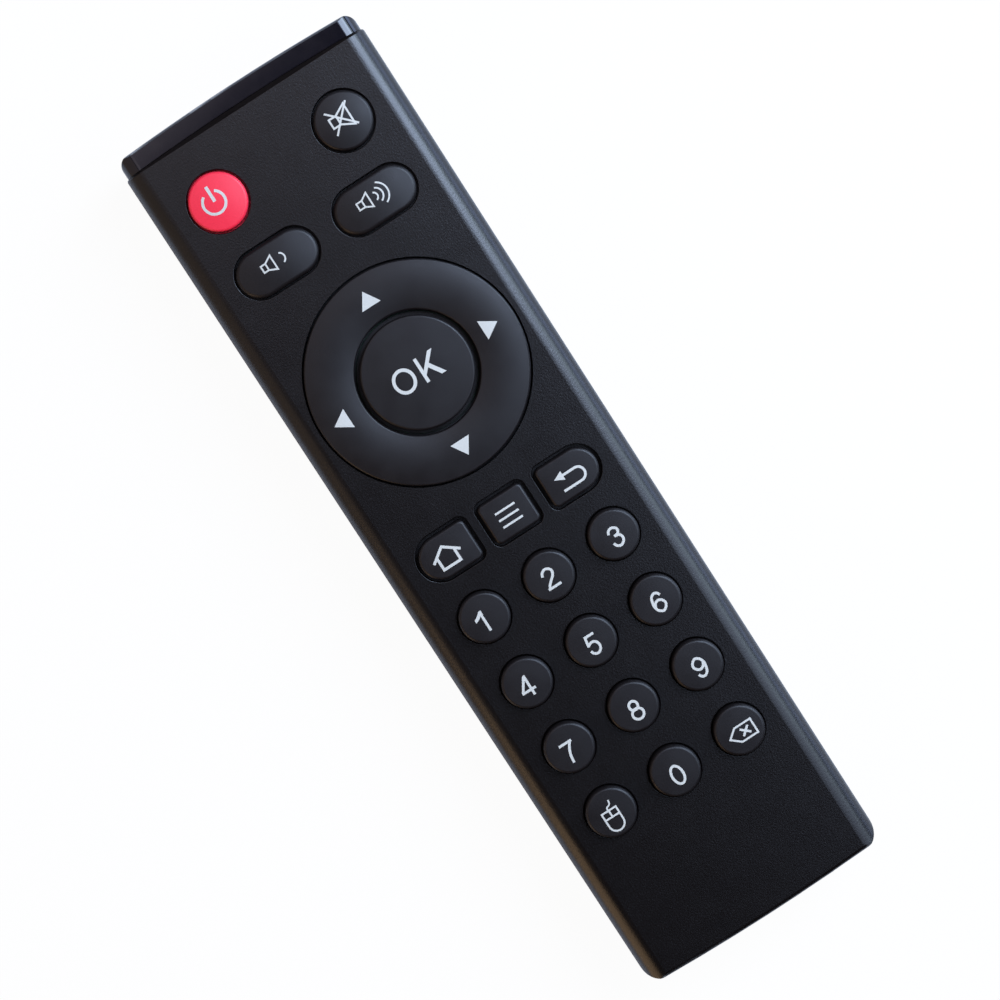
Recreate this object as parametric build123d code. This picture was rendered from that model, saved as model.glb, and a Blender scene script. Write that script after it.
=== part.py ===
from build123d import *
from dataclasses import dataclass
import math
import os

# A universal remote control in millimetres: a long two-part case with a soft top edge, a dark
# infrared window at its head, twenty keys, a rocking ring round an OK key, and two AAA cells
# under a sliding cover. X is to the right, Y towards the window and Z up from the table. The
# origin is below the middle of the case.

# Case
case_side_margin = 4.175
case_head_space = 6.1
case_tail_space = 23.31
case_wall = 1.7
end_bow_radius = 376.0
tail_corner_radius = 3.2
top_edge_radius = 3.0
back_edge_radius = 4.0
tail_top_radius = 0.8
tail_back_radius = 3.0
top_side_draft = 0.3
back_side_draft = 0.6
least_round = 0.3
hole_edge = 0.15
parting_height = 10.5
overrun = 2.0

# Joint between the two shells
lap_height = 1.2
lap_gap = 0.1
catch_length = 6.0
catch_height = 0.5
catch_depth = 0.25
catch_count = 3
catch_span_share = 0.72

# Infrared window at the head
window_length = 3.25
window_step = 0.34
window_side_wall = 2.5
window_front_wall = 1.4
window_corner_radius = 2.0
window_top_radius = 1.3
window_gap = 0.08
lead_in_length = 0.8
tongue_length = 1.6
tongue_gap = 0.1

# Cells and the bay that holds them
cell_radius = 5.25
cell_length = 44.5
nub_radius = 2.6
nub_length = 0.9
cell_spacing = 1.0
cell_clearance = 0.2
cell_lift = 0.4
bay_side_clearance = 0.75
bay_tail_margin = 6.0
bay_wall = 1.2
bay_roof = 1.1
board_gap = 0.2

# Sliding cover and its tray
cover_wall = 1.5
cover_ledge = 2.05
cover_gap = 0.15
cover_end_height = 6.0
cover_run_past_bay = 6.0
cover_rail_depth = 0.6
cover_rail_height = 0.5
cover_rail_lift = 0.55
cover_tongue_length = 1.2
cover_tongue_share = 0.66
cover_tongue_lift = 0.65
cover_tongue_height = 0.7
tray_thickness = 1.2
tray_margin = 2.2
scoop_radius = 24.0
scoop_depth = 0.55
scoop_setback = 11.0
grip_count = 4
grip_pitch = 1.5
grip_width = 0.6
grip_height = 0.35
grip_length = 9.0

# Board, key sheet and the stack above them
board_thickness = 1.2
board_side_gap = 0.65
board_head_gap = 3.45
board_tail_margin = 8.8
board_corner_radius = 2.0
key_travel = 0.8
pressed_clearance = 0.02
flange_thickness = 0.35
flange_clearance = 0.03
flange_overlap = 0.5
sheet_side_inset = 0.6
sheet_tail_inset = 4.0
sheet_clearance = 0.15

# Locating pins of the top shell and the posts of the bottom shell
pin_radius = 0.9
pin_clearance = 0.15
pin_proud = 0.4
post_radius = 1.6
rib_thickness = 1.0
rib_height = 7.0
rib_count = 3
rib_share = 0.34

# Power and mute keys
small_key_radius = 4.45
small_key_gap = 0.3
small_key_proud = 1.3
small_key_crown_radius = 27.0
small_key_edge = 0.45

# Volume keys
volume_key_width = 7.1
volume_key_inset = 0.2
volume_middle_space = 4.0
volume_head_space = 4.3
volume_key_gap = 0.3
volume_key_proud = 1.3
volume_key_crown_radius = 40.0
volume_key_edge = 0.6

# Ring and OK key
ring_outer_radius = 17.0
ring_width = 7.55
ring_head_space = 4.4
ring_hole_gap = 0.32
ring_proud = 0.82
ring_crown_drop = 0.34
ring_edge = 0.3
ring_height = 1.92
ring_post_radius = 2.4
ring_post_share = 0.403
ok_key_gap = 0.8
ok_key_proud = 1.0
ok_key_crown_radius = 150.0
ok_key_edge = 0.35
web_thickness = 0.3
web_seat_width = 1.2
web_seat_inset = 0.6
web_foot_width = 0.4
web_foot_height = 0.25
web_reach = 1.3
web_clearance = 0.1
collar_gap = 0.15
collar_width = 0.75
collar_height = 0.5
bridge_width = 1.5

# Home, menu and back keys
menu_key_width = 7.7
menu_key_height = 6.66
menu_key_radius = 0.9
menu_side_space = 2.55
menu_head_space = 4.87
menu_key_gap = 0.5
menu_key_proud = 1.2
menu_key_crown_radius = 70.0
menu_key_edge = 0.4

# Number keys
key_field_inset = 1.5
number_side_space = 3.65
number_row_space = 3.93
number_head_space = 3.92
number_row_count = 4
number_key_gap = 0.2
number_key_proud = 1.5
number_key_crown_radius = 70.0
number_key_edge = 0.45

# Carbon pills under the keys
pill_radius = 1.6
pill_clearance = 0.1

# Infrared diode
diode_radius = 2.5
diode_flange_radius = 2.9
diode_flange_length = 1.0
diode_body_length = 5.6
diode_lens_gap = 0.6
diode_axis_drop = 3.1
diode_lead_spacing = 2.54
diode_lead_size = 0.5
diode_lead_run = 2.0

# Parts on the underside of the board
chip_length = 12.8
chip_width = 7.5
chip_height = 2.0
chip_lift = 0.25
chip_leg_count = 10
chip_leg_pitch = 1.27
chip_leg_width = 0.45
chip_leg_reach = 1.3
chip_leg_thickness = 0.25
chip_ahead_of_pad = 7.35
resonator_length = 7.0
resonator_width = 2.8
resonator_height = 3.2
resonator_space = 5.2
capacitor_radius = 2.5
capacitor_length = 6.0
capacitor_behind_pad = 14.65
capacitor_x = 9.0
capacitor_groove = 0.25
resistor_length = 2.0
resistor_width = 1.25
resistor_height = 0.6
resistor_pitch = 4.0
resistor_count = 5
resistor_side_space = 4.325

# Battery contacts
contact_thickness = 0.3
contact_width = 9.4
contact_height = 8.6
contact_play = 0.05
contact_tab_width = 1.2
contact_radius = 5.1
spring_wire_radius = 0.3
spring_base_radius = 3.7
spring_tip_radius = 2.3
spring_turns = 3.5
spring_length = 4.85
spring_wire_sides = 6

# Levels, from the table up
cell_z = cover_wall + cell_lift + cell_radius
channel_radius = cell_radius + cell_clearance
bay_top = cell_z + channel_radius + bay_roof
board_bottom = bay_top + board_gap
board_top = board_bottom + board_thickness
sheet_thickness = pressed_clearance + key_travel + flange_thickness + flange_clearance
wall_underside = board_top + sheet_thickness
case_height = wall_underside + case_wall
pill_bottom = board_top + key_travel + pressed_clearance
flange_top = pill_bottom + flange_thickness

# Key field: every row ends on the same lines beside the ring
key_field_half_width = ring_outer_radius - key_field_inset
small_key_x = key_field_half_width - small_key_radius
volume_key_length = key_field_half_width - volume_key_inset - volume_middle_space / 2
volume_key_x = (volume_middle_space + volume_key_length) / 2
side_key_inner_x = menu_key_width / 2 + menu_side_space
side_key_width = key_field_half_width - side_key_inner_x
number_key_radius = (key_field_half_width - number_side_space) / 3
number_pitch_x = 2 * number_key_radius + number_side_space
number_pitch_y = 2 * number_key_radius + number_row_space

# Rows of keys, measured back from the seam behind the window
small_key_setback = case_head_space + small_key_radius
volume_key_setback = (small_key_setback + small_key_radius + volume_head_space
                      + volume_key_width / 2)
pad_setback = volume_key_setback + volume_key_width / 2 + ring_head_space + ring_outer_radius
menu_row_setback = pad_setback + ring_outer_radius + menu_head_space + menu_key_height / 2
number_top_setback = (menu_row_setback + menu_key_height / 2 + number_head_space
                      + number_key_radius)
number_bottom_setback = number_top_setback + (number_row_count - 1) * number_pitch_y
tail_setback = number_bottom_setback + number_key_radius + case_tail_space

# Places along and across the case
case_length = tail_setback + window_length
case_width = 2 * (ring_outer_radius + case_side_margin)
half_width = case_width / 2
tail_y = -case_length / 2
head_y = case_length / 2
seam_y = head_y - window_length
tail_axis_y = tail_y + end_bow_radius
head_axis_y = head_y - end_bow_radius
small_key_y = seam_y - small_key_setback
volume_key_y = seam_y - volume_key_setback
pad_y = seam_y - pad_setback
menu_row_y = seam_y - menu_row_setback
number_top_y = seam_y - number_top_setback
number_bottom_y = seam_y - number_bottom_setback
bay_length = cell_length + spring_length + 2 * contact_thickness + contact_play
bay_tail_y = tail_y + bay_tail_margin
bay_head_y = bay_tail_y + bay_length
cell_x = cell_radius + cell_spacing / 2
bay_half_width = cell_x + cell_radius + bay_side_clearance
cover_half_width = bay_half_width + bay_wall + cover_ledge
cover_head_y = bay_head_y + cover_run_past_bay
board_half_width = half_width - case_wall - top_side_draft - board_side_gap
board_head_y = seam_y - board_head_gap
board_tail_y = number_bottom_y - number_key_radius - board_tail_margin
sheet_half_width = board_half_width - sheet_side_inset
sheet_tail_y = board_tail_y + sheet_tail_inset

# The ring and what lies under it
ring_inner_radius = ring_outer_radius - ring_width
ring_hole_radius = ring_outer_radius + ring_hole_gap
ring_mid_radius = (ring_outer_radius + ring_inner_radius) / 2
ring_crown_z = case_height + ring_proud
ring_edge_z = ring_crown_z - ring_crown_drop
ring_bottom_z = ring_crown_z - ring_height
ring_post_circle = ring_inner_radius + ring_width * ring_post_share
ok_key_radius = ring_inner_radius - ok_key_gap
web_radius = ring_outer_radius + web_reach
ring_opening_radius = web_radius + web_clearance

# Cell and contact places along the bay
contact_face_head_y = bay_head_y - contact_thickness
contact_face_tail_y = bay_tail_y + contact_thickness

# Places of the parts under the board
chip_y = pad_y + chip_ahead_of_pad
resonator_y = chip_y + chip_length / 2 + resonator_space + resonator_width / 2
capacitor_y = pad_y - capacitor_behind_pad
resistor_x = chip_width / 2 + chip_leg_reach + resistor_side_space + resistor_width / 2
resistor_y = chip_y - resistor_pitch

# Post and pin places
side_pin_x = board_half_width - post_radius - pin_radius
ring_pin_rise = ring_opening_radius * math.sqrt(1 / 2) + pin_radius
pin_places = [
    (0, small_key_y),
    (-side_pin_x, pad_y + ring_pin_rise),
    (side_pin_x, pad_y + ring_pin_rise),
    (-side_pin_x, pad_y - ring_pin_rise),
    (side_pin_x, pad_y - ring_pin_rise),
    (-number_pitch_x / 2, number_top_y - 3 * number_pitch_y / 2),
    (number_pitch_x / 2, number_top_y - 5 * number_pitch_y / 2),
]
post_places = [
    (side * side_pin_x, y)
    for side in (-1, 1)
    for y in (small_key_y, pad_y, menu_row_y)
]


@dataclass(frozen=True)
class Key:
    """One key: its outline family, place and the sizes of its cap."""

    name: str
    family: str
    x: float
    y: float
    gap: float
    proud: float
    crown: float
    edge: float
    side: int = 0


def key_list():
    """All keys, from the head of the case to its tail."""
    keys = []
    for name, side in (("power", -1), ("mute", 1)):
        keys.append(Key(name, "small", side * small_key_x, small_key_y, small_key_gap,
                        small_key_proud, small_key_crown_radius, small_key_edge))
    for name, side in (("volume_down", -1), ("volume_up", 1)):
        keys.append(Key(name, "volume", side * volume_key_x, volume_key_y,
                        volume_key_gap, volume_key_proud, volume_key_crown_radius,
                        volume_key_edge))
    keys.append(Key("ok", "ok", 0, pad_y, flange_overlap, ok_key_proud, ok_key_crown_radius,
                    ok_key_edge))
    side_key_x = side_key_inner_x + side_key_width / 2
    for name, side in (("home", -1), ("menu", 0), ("back", 1)):
        keys.append(Key(name, "side" if side else "menu", side * side_key_x, menu_row_y,
                        menu_key_gap, menu_key_proud, menu_key_crown_radius, menu_key_edge,
                        side))
    rows = (("1", "2", "3"), ("4", "5", "6"), ("7", "8", "9"), ("mouse", "0", "delete"))
    for row, names in enumerate(rows):
        for column, name in enumerate(names):
            keys.append(Key(name, "number", (column - 1) * number_pitch_x,
                            number_top_y - row * number_pitch_y, number_key_gap,
                            number_key_proud, number_key_crown_radius, number_key_edge))
    return keys


def flat(sketch, z):
    """A sketch moved up to a level."""
    return Pos(0, 0, z) * sketch


def box_between(low, high):
    """A box from its lowest to its highest corner."""
    size = [b - a for a, b in zip(low, high)]
    middle = [(a + b) / 2 for a, b in zip(low, high)]
    return Pos(*middle) * Box(*size)


def bow_drop(x):
    """How far a bowed end has come back at a distance from the middle."""
    return end_bow_radius - math.sqrt(end_bow_radius**2 - x**2)


def section(inset, y):
    """Cross section of the case at a place along it, drawn in by an inset."""
    low = inset
    high = case_height - inset
    base_x = half_width - back_side_draft - inset
    middle_x = half_width - inset
    top_x = half_width - top_side_draft - inset
    corners = [
        (-base_x, y, low), (base_x, y, low), (middle_x, y, parting_height),
        (top_x, y, high), (-top_x, y, high), (-middle_x, y, parting_height),
    ]
    face = make_face(Polyline(*corners, close=True))
    face = fillet(face.vertices().sort_by(Axis.Z)[:2], max(back_edge_radius - inset, least_round))
    return fillet(face.vertices().sort_by(Axis.Z)[-2:], max(top_edge_radius - inset, least_round))


def long_prism(inset):
    """The section drawn along the whole case and past its ends."""
    face = section(inset, tail_y - overrun)
    return extrude(face, amount=case_length + 2 * overrun, dir=(0, 1, 0))


def bowed_end(axis_y, inward, inset, base_radius, top_radius):
    """A disc with the bow of one end of the case, drafted and rounded as that end is."""
    depth = case_length + 2 * overrun
    rim = end_bow_radius - inset
    outline = [
        (rim - depth, inset), (rim - back_side_draft, inset), (rim, parting_height),
        (rim - top_side_draft, case_height - inset), (rim - depth, case_height - inset),
    ]
    corners = [(0, axis_y + inward * radius, z) for radius, z in outline]
    face = make_face(Polyline(*corners, close=True))
    low_edge = face.vertices().group_by(Axis.Z)[0].sort_by(Axis.Y)[-1 if inward > 0 else 0]
    face = fillet(low_edge, max(base_radius - inset, least_round))
    high_edge = face.vertices().group_by(Axis.Z)[-1].sort_by(Axis.Y)[-1 if inward > 0 else 0]
    face = fillet(high_edge, max(top_radius - inset, least_round))
    return revolve(face, Axis((0, axis_y, 0), (0, 0, 1)))


def corner_cutters(axis_y, inward, width, radius):
    """What is cut away to round both upright corners of an end, tapered with its draft."""
    x = width - radius
    y = axis_y - inward * math.sqrt((end_bow_radius - radius) ** 2 - x**2)
    reach = 2 * radius
    out = Vector(x, y - axis_y).normalized() * reach
    wedge = Polyline((x, y), (x + reach, y), (x + reach, y + out.Y), (x + out.X, y + out.Y),
                     close=True)
    block = extrude(make_face(wedge), amount=case_height)
    low_cone = Cone(radius - back_side_draft, radius, parting_height,
                    align=(Align.CENTER, Align.CENTER, Align.MIN))
    high_cone = Cone(radius, radius - top_side_draft, case_height - parting_height,
                     align=(Align.CENTER, Align.CENTER, Align.MIN))
    cutter = block - Pos(x, y, 0) * low_cone - Pos(x, y, parting_height) * high_cone
    return [cutter, mirror(cutter, about=Plane.YZ)]


def behind(y):
    """Everything behind a line across the case that is bowed like its head."""
    disc = Cylinder(end_bow_radius, case_height + 2 * overrun,
                    align=(Align.CENTER, Align.CENTER, Align.MIN))
    return Pos(0, y - end_bow_radius, -overrun) * disc


def slab(low, high):
    """Everything between two levels."""
    reach = case_length
    return box_between((-reach, -reach, low), (reach, reach, high))


def case_form():
    """Outside of the two shells, with a slight lead-in towards the window."""
    lead_y = seam_y - lead_in_length
    slope = window_step / lead_in_length
    end_inset = slope * (lead_in_length + overrun)
    body = extrude(section(0, tail_y - overrun), amount=lead_y - tail_y + overrun, dir=(0, 1, 0))
    lead = loft([section(0, lead_y), section(end_inset, seam_y + overrun)], ruled=True)
    tail = bowed_end(tail_axis_y, 1, 0, tail_back_radius, tail_top_radius)
    form = (body + lead) & tail
    return form - corner_cutters(tail_axis_y, 1, half_width, tail_corner_radius)


def cavity(inset):
    """Room inside the case at an inset from its outside, open towards the window."""
    tail = bowed_end(tail_axis_y, 1, inset, tail_back_radius, tail_top_radius)
    return long_prism(inset) & tail


def key_outline(key, grow=0):
    """Outline of a key in plan, grown all round."""
    if key.family == "small":
        shape = Circle(small_key_radius + grow)
    elif key.family == "ok":
        shape = Circle(ok_key_radius + grow)
    elif key.family == "number":
        shape = Circle(number_key_radius + grow)
    elif key.family == "volume":
        shape = SlotOverall(volume_key_length + 2 * grow, volume_key_width + 2 * grow)
    elif key.family == "menu":
        shape = RectangleRounded(menu_key_width + 2 * grow, menu_key_height + 2 * grow,
                                 menu_key_radius + grow)
    else:
        shape = side_outline(key.side, grow)
    return Pos(key.x, key.y) * shape


def side_outline(side, grow):
    """A key with one round end, which faces the side of the case."""
    end_radius = menu_key_height / 2
    block_width = side_key_width - end_radius + grow
    block = Pos(-side * (end_radius + grow) / 2, 0) * Rectangle(block_width,
                                                                menu_key_height + 2 * grow)
    inner = block.vertices().sort_by(Axis.X)
    inner = inner[:2] if side > 0 else inner[-2:]
    block = fillet(inner, menu_key_radius + grow)
    end = Pos(side * (side_key_width / 2 - end_radius), 0) * Circle(end_radius + grow)
    return block + end


def key_cap(key):
    """A key: crowned cap with a soft edge, and the flange that holds it under the top shell."""
    top = case_height + key.proud
    blank = extrude(flat(key_outline(key), flange_top), amount=top - flange_top)
    crown = Pos(key.x, key.y, top - key.crown) * Sphere(key.crown)
    cap = blank & crown
    cap = fillet(cap.faces().sort_by(Axis.Z)[-1].edges(), key.edge)
    flange = extrude(flat(key_outline(key, flange_reach(key)), pill_bottom),
                     amount=flange_thickness)
    pocket = Pos(key.x, key.y, pill_bottom) * Cylinder(
        pill_radius + pill_clearance, flange_thickness,
        align=(Align.CENTER, Align.CENTER, Align.MIN))
    return cap + (flange - pocket)


def flange_reach(key):
    """How far a key's flange stands out from its cap."""
    return key.gap if key.family == "ok" else key.gap + flange_overlap


def pill(x, y):
    """A carbon disc that bridges the contact below it."""
    return Pos(x, y, pill_bottom) * Cylinder(pill_radius, flange_thickness,
                                             align=(Align.CENTER, Align.CENTER, Align.MIN))


def ring_post_places():
    """Places of the four posts under the ring, on its axes."""
    return [(ring_post_circle * math.cos(turn * math.pi / 2),
             pad_y + ring_post_circle * math.sin(turn * math.pi / 2)) for turn in range(4)]


def dpad_ring():
    """Ring with a crowned top, on four posts that press the contacts."""
    inner_top = (ring_inner_radius, 0, ring_edge_z)
    outer_top = (ring_outer_radius, 0, ring_edge_z)
    crown = ThreePointArc(inner_top, (ring_mid_radius, 0, ring_crown_z), outer_top)
    sides = Polyline(outer_top, (ring_outer_radius, 0, ring_bottom_z),
                     (ring_inner_radius, 0, ring_bottom_z), inner_top)
    face = make_face([crown, sides])
    face = fillet(face.vertices().group_by(Axis.Z)[-1], ring_edge)
    ring = Pos(0, pad_y) * revolve(face, Axis.Z)
    posts = [Pos(x, y, flange_top) * Cylinder(ring_post_radius, ring_bottom_z - flange_top,
                                              align=(Align.CENTER, Align.CENTER, Align.MIN))
             for x, y in ring_post_places()]
    return ring + posts


def dpad_pills():
    """Carbon discs under the four posts of the ring."""
    return Compound(children=[pill(x, y) for x, y in ring_post_places()])


def dpad_web():
    """Thin rubber skirt that carries the ring and lets it rock."""
    seat_outer = ring_outer_radius - web_seat_inset
    seat_inner = seat_outer - web_seat_width
    foot_top = board_top + web_foot_height
    outline = [
        (seat_inner, ring_bottom_z), (seat_outer, ring_bottom_z), (web_radius, foot_top),
        (web_radius, board_top), (web_radius - web_foot_width, board_top),
        (web_radius - web_foot_width, foot_top), (seat_outer, ring_bottom_z - web_thickness),
        (seat_inner, ring_bottom_z - web_thickness),
    ]
    face = make_face(Polyline(*[(radius, 0, z) for radius, z in outline], close=True))
    notches = extrude(flat(bridge_cross(web_clearance), board_top),
                      amount=collar_height + web_clearance)
    return Pos(0, pad_y) * (revolve(face, Axis.Z) - notches)


def bridge_cross(grow):
    """Plan of the two diagonal bridges that hold the collar, grown for the notches over them."""
    bridge = Rectangle(bridge_width + 2 * grow, 2 * ring_opening_radius + bridge_width)
    return Rot(0, 0, 45) * bridge + Rot(0, 0, -45) * bridge


def catch_places():
    """Places along the case of the snap catches on each side."""
    reach = case_length * catch_span_share
    return [(index / (catch_count - 1) - 1 / 2) * reach for index in range(catch_count)]


def catches(grow):
    """Small ridges that hold the two shells together, grown for their recesses."""
    middle_z = parting_height + lap_height / 2
    reach = half_width - case_wall / 2 - lap_gap + catch_depth + grow
    inner = half_width - case_wall + lap_gap
    ridges = []
    for side in (-1, 1):
        for y in catch_places():
            length = catch_length + 2 * grow
            height = catch_height + 2 * grow
            middle_x = side * (reach + inner) / 2
            ridges.append(Pos(middle_x, y, middle_z) * Box(reach - inner, length, height))
    return ridges


def top_case():
    """Upper shell with the key holes, and pins that hold the board in place."""
    outer = case_form() & behind(seam_y) & slab(parting_height, case_height)
    rebate = cavity(case_wall / 2) & slab(parting_height - overrun,
                                          parting_height + lap_height + lap_gap)
    shell = outer - cavity(case_wall) - rebate - catches(lap_gap)
    holes = [
        extrude(flat(key_outline(key, key.gap), wall_underside - overrun),
                amount=case_wall + 2 * overrun)
        for key in key_list() if key.family != "ok"
    ]
    holes.append(Pos(0, pad_y, wall_underside - overrun) * Cylinder(
        ring_hole_radius, case_wall + 2 * overrun,
        align=(Align.CENTER, Align.CENTER, Align.MIN)))
    shell = soften_holes(shell - holes)
    pin_length = wall_underside - board_bottom - pin_proud
    pins = [Pos(x, y, wall_underside - pin_length) * Cylinder(
        pin_radius, pin_length, align=(Align.CENTER, Align.CENTER, Align.MIN))
        for x, y in pin_places]
    return shell + pins


def soften_holes(shell):
    """Rounds the upper edges of the key holes."""
    level = shell.edges().filter_by_position(Axis.Z, case_height, case_height)
    edges = level.filter_by_position(Axis.X, -ring_hole_radius, ring_hole_radius)
    return fillet([edge for edge in edges if edge.length < case_width + overrun], hole_edge)


def bay_block():
    """Walls and vaulted roof of the room for the two cells."""
    outer = box_between((-bay_half_width - bay_wall, bay_tail_y - bay_wall, cover_wall),
                        (bay_half_width + bay_wall, bay_head_y + bay_wall, bay_top))
    return outer


def bay_room():
    """Room for the two cells: straight sides below, one half-round channel over each cell."""
    lower = box_between((-bay_half_width, bay_tail_y, 0), (bay_half_width, bay_head_y, cell_z))
    channels = [
        Pos(side * cell_x, (bay_tail_y + bay_head_y) / 2, cell_z)
        * Rot(90, 0, 0) * Cylinder(channel_radius, bay_length)
        for side in (-1, 1)
    ]
    return [lower] + channels


def contact_slots():
    """Slots through the roof of the bay for the tabs of the contacts."""
    slots = []
    for x, y in contact_tab_places():
        grow = pin_clearance
        slots.append(box_between(
            (x - contact_tab_width / 2 - grow, y - contact_thickness / 2 - grow, cell_z),
            (x + contact_tab_width / 2 + grow, y + contact_thickness / 2 + grow, board_bottom)))
    return slots


def contact_tab_places():
    """Middle of each tab that rises from a head-end contact to the board."""
    y = bay_head_y - contact_thickness / 2
    return [(side * cell_x, y) for side in (-1, 1)]


def cover_cut(grow):
    """Block that takes the cover out of the case, grown for the opening that it slides in."""
    return [
        box_between((-cover_half_width - grow, tail_y - overrun, -overrun),
                    (cover_half_width + grow, cover_head_y + grow, cover_wall + grow)),
        box_between((-cover_half_width - grow, tail_y - overrun, -overrun),
                    (cover_half_width + grow, bay_tail_y - bay_wall - grow,
                     cover_end_height + grow)),
    ]


def cover_rails(grow):
    """Rails along both sides of the cover, grown for their grooves."""
    rail_z = cover_rail_lift - grow
    height = cover_rail_height + 2 * grow
    rails = []
    for side in (-1, 1):
        inner_x = side * (cover_half_width - overrun)
        outer_x = side * (cover_half_width + cover_rail_depth + grow)
        low_x, high_x = sorted((inner_x, outer_x))
        rails.append(box_between((low_x, bay_tail_y, rail_z),
                                 (high_x, bay_head_y + grow, rail_z + height)))
    return rails


def cover_tongue(grow):
    """Tongue at the head end of the cover, grown for its slot."""
    width = cover_half_width * cover_tongue_share + grow
    return box_between(
        (-width, cover_head_y - overrun, cover_tongue_lift - grow),
        (width, cover_head_y + cover_tongue_length + grow,
         cover_tongue_lift + cover_tongue_height + grow))


def bottom_case():
    """Lower shell with the cell bay, the tray over the cover, posts, ribs and the lap lip."""
    outer = case_form() & behind(seam_y) & slab(0, parting_height)
    inner = cavity(case_wall)
    shell = outer - inner
    lip = (cavity(case_wall / 2 + lap_gap) - inner) & behind(seam_y) & slab(
        parting_height - lap_height, parting_height + lap_height)
    tray = box_between(
        (-cover_half_width - tray_margin, bay_tail_y - bay_wall, cover_wall + cover_gap),
        (cover_half_width + tray_margin, cover_head_y + cover_tongue_length + tray_margin,
         cover_wall + cover_gap + tray_thickness))
    posts = [Pos(x, y, case_wall / 2) * Cylinder(
        post_radius, board_bottom - case_wall / 2, align=(Align.CENTER, Align.CENTER, Align.MIN))
        for x, y in post_places]
    shell = shell + lip + tray + bay_block() + posts + side_ribs() + head_ribs() + catches(0)
    shell = shell - bay_room() - contact_slots()
    shell = shell - cover_cut(cover_gap) - cover_groove() - cover_tongue(cover_gap)
    return shell


def cover_groove():
    """Grooves that the rails of the cover slide in, open at the tail."""
    grooves = []
    for rail in cover_rails(cover_gap):
        grooves.append(rail)
        box = rail.bounding_box()
        grooves.append(box_between((box.min.X, tail_y - overrun, box.min.Z),
                                   (box.max.X, bay_tail_y, box.max.Z)))
    return grooves


def side_ribs():
    """Ribs between the cell bay and the sides of the lower shell."""
    ribs = []
    for side in (-1, 1):
        for index in range(rib_count):
            y = bay_tail_y + bay_length * (index + 1) / (rib_count + 1)
            inner_x = side * bay_half_width
            outer_x = side * (half_width - back_side_draft - case_wall)
            low_x, high_x = sorted((inner_x, outer_x))
            ribs.append(box_between((low_x, y, cover_wall + cover_gap),
                                    (high_x, y + rib_thickness, rib_height)))
    return ribs


def head_ribs():
    """Low ribs across the floor of the lower shell, ahead of the cell bay."""
    room = seam_y - tongue_length - cover_head_y
    width = half_width - back_side_draft - case_wall
    ribs = []
    for index in range(rib_count):
        y = cover_head_y + room * (index + 1) / (rib_count + 1)
        ribs.append(box_between((-width, y, case_wall / 2),
                                (width, y + rib_thickness, rib_height * rib_share)))
    return ribs


def battery_cover():
    """Sliding cover: a flat plate with rails, a tongue, a thumb scoop and an end that wraps up."""
    plate, end = cover_cut(0)
    inner = cavity(cover_wall)
    shell = case_form() & (plate + end) - inner
    scoop_y = cover_head_y - scoop_setback
    scoop = Pos(0, scoop_y, scoop_depth - scoop_radius) * Sphere(scoop_radius)
    cover = shell + cover_rails(0) + cover_tongue(0) - scoop
    grips = []
    for index in range(grip_count):
        y = scoop_y + (index - (grip_count - 1) / 2) * grip_pitch
        grips.append(box_between((-grip_length / 2, y - grip_width / 2, scoop_depth - grip_height),
                                 (grip_length / 2, y + grip_width / 2, cover_wall - least_round)))
    return cover + grips


def ir_window():
    """Glossy cap over the head of the case, with a rim that seats inside the shells."""
    front = bowed_end(head_axis_y, -1, 0, tail_back_radius, window_top_radius)
    outer = (long_prism(window_step) & front) - behind(seam_y + window_gap)
    outer = outer - corner_cutters(head_axis_y, -1, half_width - window_step,
                                   window_corner_radius)
    room = long_prism(window_step + window_side_wall) & bowed_end(
        head_axis_y, -1, window_front_wall, tail_back_radius, window_top_radius)
    rim = long_prism(case_wall + tongue_gap) & behind(seam_y + window_gap)
    rim = rim - behind(seam_y - tongue_length)
    return outer + rim - room


def keypad_sheet():
    """Rubber sheet between the board and the top shell, open round each key and the ring."""
    width = 2 * sheet_half_width
    length = board_head_y - sheet_tail_y
    middle_y = (board_head_y + sheet_tail_y) / 2
    plan = Pos(0, middle_y) * RectangleRounded(width, length, board_corner_radius)
    for key in key_list():
        if key.family != "ok":
            plan = plan - key_outline(key, flange_reach(key) + sheet_clearance)
    plan = plan - Pos(0, pad_y) * Circle(ring_opening_radius)
    for x, y in pin_places:
        plan = plan - Pos(x, y) * Circle(pin_radius + pin_clearance)
    sheet = extrude(flat(plan, board_top), amount=sheet_thickness)
    collar_inner = ok_key_radius + flange_overlap + collar_gap
    collar = bridge_cross(0) + Circle(collar_inner + collar_width) - Circle(collar_inner)
    return sheet + extrude(flat(Pos(0, pad_y) * collar, board_top), amount=collar_height)


def circuit_board():
    """Board with the key contacts on top, and holes for the pins and the diode's leads."""
    width = 2 * board_half_width
    length = board_head_y - board_tail_y
    middle_y = (board_head_y + board_tail_y) / 2
    plan = Pos(0, middle_y) * RectangleRounded(width, length, board_corner_radius)
    for x, y in pin_places:
        plan = plan - Pos(x, y) * Circle(pin_radius + pin_clearance)
    for x, y in diode_lead_places():
        plan = plan - Pos(x, y) * Circle(diode_lead_size)
    for x, y in contact_tab_places():
        plan = plan - Pos(x, y) * Rectangle(contact_tab_width + 2 * pin_clearance,
                                            contact_thickness + 2 * pin_clearance)
    return extrude(flat(plan, board_bottom), amount=board_thickness)


def diode_lead_places():
    """Where the leads of the diode pass through the board."""
    y = diode_back_y() - diode_lead_run
    return [(side * diode_lead_spacing / 2, y) for side in (-1, 1)]


def diode_back_y():
    """Back of the diode's flange."""
    tip = head_y - window_front_wall - diode_lens_gap
    return tip - diode_radius - diode_body_length - diode_flange_length


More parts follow.
